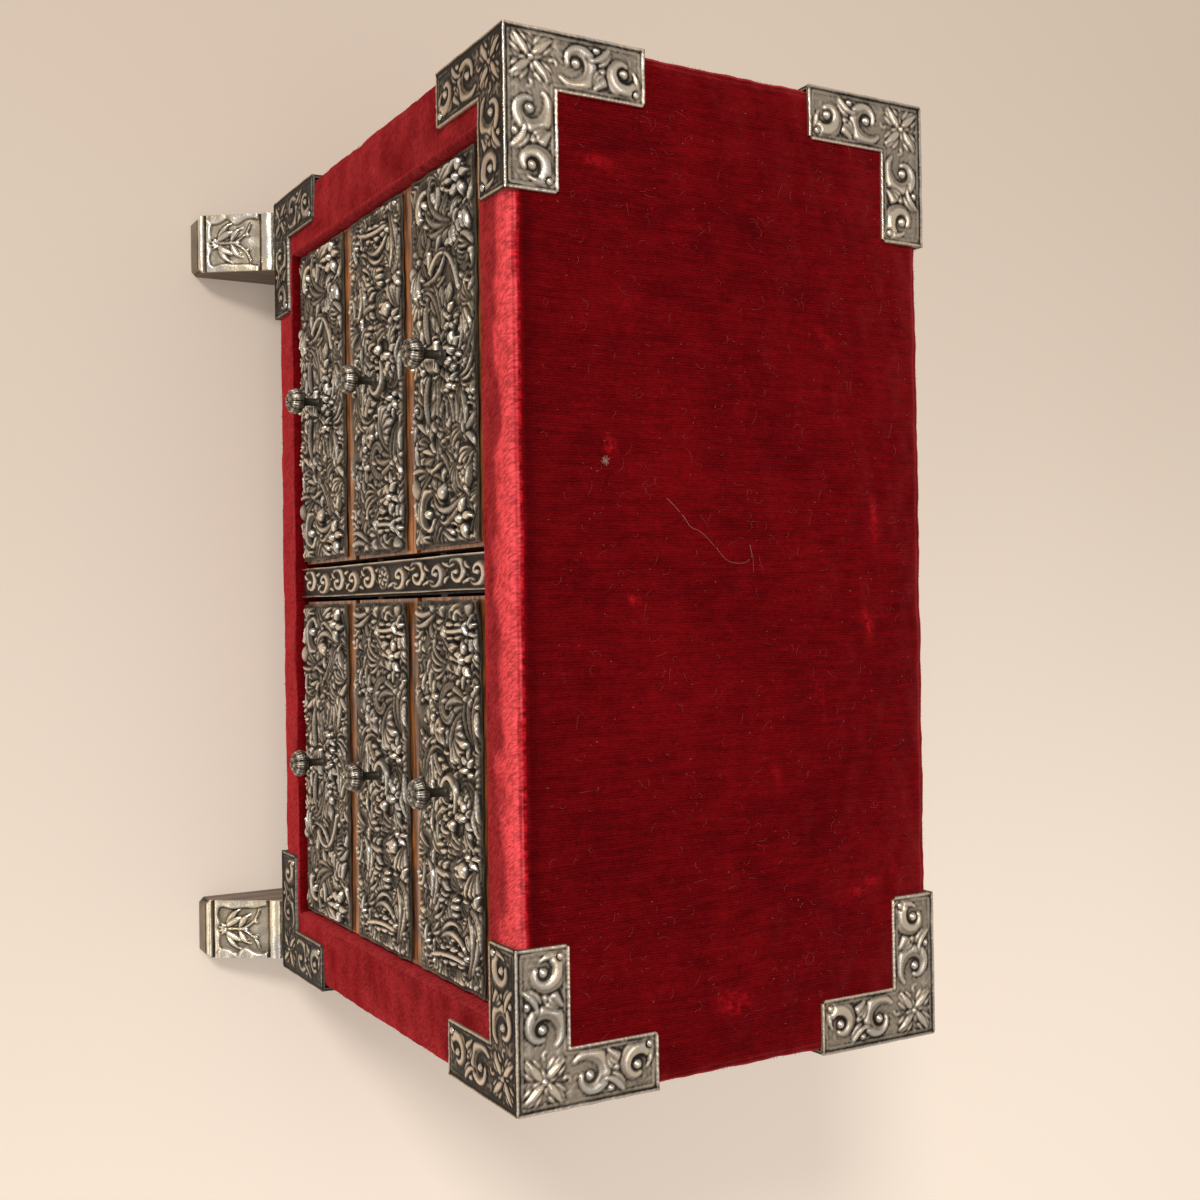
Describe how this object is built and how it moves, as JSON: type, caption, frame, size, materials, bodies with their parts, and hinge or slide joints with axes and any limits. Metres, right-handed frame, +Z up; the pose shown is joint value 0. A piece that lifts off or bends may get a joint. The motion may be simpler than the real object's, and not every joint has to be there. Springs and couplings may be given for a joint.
{
  "type": "coin collector cabinet",
  "caption": "Small velvet-covered table cabinet for coins, with sliding drawers in two columns, embossed silver facings, corner mounts, knobs and flared feet.",
  "frame": {"origin": "centre of the footprint at floor level, under the feet", "axes": "+Z up, drawers open towards -Y, +X to the right seen from the front; the width along X is the longest side"},
  "size_m": [0.253, 0.1696, 0.1945],
  "materials": {
    "silver": "repousse silver, blackened in the hollows and worn bright on the high parts",
    "pins": "silver nail heads, rubbed",
    "screws": "dull steel",
    "velvet": "crimson silk velvet, worn nap",
    "carcass_wood": "plain oak, unfinished inside",
    "drawer_front_wood": "orange-brown pear wood, oiled edges",
    "drawer_wood": "plain fine-grained wood",
    "foot_wood": "dull brown stain"
  },
  "bodies": {
    "cabinet": {"carcass_top": "carcass_wood", "carcass_bottom": "carcass_wood", "carcass_left_side": "carcass_wood", "carcass_right_side": "carcass_wood", "carcass_back": "carcass_wood", "partition": "carcass_wood", "left_shelves": "carcass_wood", "right_shelves": "carcass_wood", "partition_strip": "silver", "velvet_wrap": "velvet", "velvet_front": "velvet", "velvet_back": "velvet", "mount_pins": "pins", "foot_screws": "screws", "upper_front_left_mount": "silver", "upper_front_right_mount": "silver", "upper_rear_left_mount": "silver", "upper_rear_right_mount": "silver", "lower_front_left_mount": "silver", "lower_front_right_mount": "silver", "lower_rear_left_mount": "silver", "lower_rear_right_mount": "silver", "front_left_foot_core": "foot_wood", "front_left_foot_casing": "silver", "front_right_foot_core": "foot_wood", "front_right_foot_casing": "silver", "rear_left_foot_core": "foot_wood", "rear_left_foot_casing": "silver", "rear_right_foot_core": "foot_wood", "rear_right_foot_casing": "silver"},
    "lower_left_drawer": {"lower_left_drawer_front_board": "drawer_front_wood", "lower_left_drawer_box": "drawer_wood", "lower_left_drawer_bottom": "drawer_wood", "lower_left_drawer_facing": "silver", "lower_left_drawer_knob": "silver"},
    "middle_left_drawer": {"middle_left_drawer_front_board": "drawer_front_wood", "middle_left_drawer_box": "drawer_wood", "middle_left_drawer_bottom": "drawer_wood", "middle_left_drawer_facing": "silver", "middle_left_drawer_knob": "silver"},
    "upper_left_drawer": {"upper_left_drawer_front_board": "drawer_front_wood", "upper_left_drawer_box": "drawer_wood", "upper_left_drawer_bottom": "drawer_wood", "upper_left_drawer_facing": "silver", "upper_left_drawer_knob": "silver"},
    "lower_right_drawer": {"lower_right_drawer_front_board": "drawer_front_wood", "lower_right_drawer_box": "drawer_wood", "lower_right_drawer_bottom": "drawer_wood", "lower_right_drawer_facing": "silver", "lower_right_drawer_knob": "silver"},
    "middle_right_drawer": {"middle_right_drawer_front_board": "drawer_front_wood", "middle_right_drawer_box": "drawer_wood", "middle_right_drawer_bottom": "drawer_wood", "middle_right_drawer_facing": "silver", "middle_right_drawer_knob": "silver"},
    "upper_right_drawer": {"upper_right_drawer_front_board": "drawer_front_wood", "upper_right_drawer_box": "drawer_wood", "upper_right_drawer_bottom": "drawer_wood", "upper_right_drawer_facing": "silver", "upper_right_drawer_knob": "silver"}
  },
  "joints": [
    {"name": "lower_left_drawer_slide", "type": "slide", "parent": "cabinet", "child": "lower_left_drawer", "axis": [0, -1, 0], "range_m": [0, 0.085]},
    {"name": "middle_left_drawer_slide", "type": "slide", "parent": "cabinet", "child": "middle_left_drawer", "axis": [0, -1, 0], "range_m": [0, 0.085]},
    {"name": "upper_left_drawer_slide", "type": "slide", "parent": "cabinet", "child": "upper_left_drawer", "axis": [0, -1, 0], "range_m": [0, 0.085]},
    {"name": "lower_right_drawer_slide", "type": "slide", "parent": "cabinet", "child": "lower_right_drawer", "axis": [0, -1, 0], "range_m": [0, 0.085]},
    {"name": "middle_right_drawer_slide", "type": "slide", "parent": "cabinet", "child": "middle_right_drawer", "axis": [0, -1, 0], "range_m": [0, 0.085]},
    {"name": "upper_right_drawer_slide", "type": "slide", "parent": "cabinet", "child": "upper_right_drawer", "axis": [0, -1, 0], "range_m": [0, 0.085]}
  ]
}
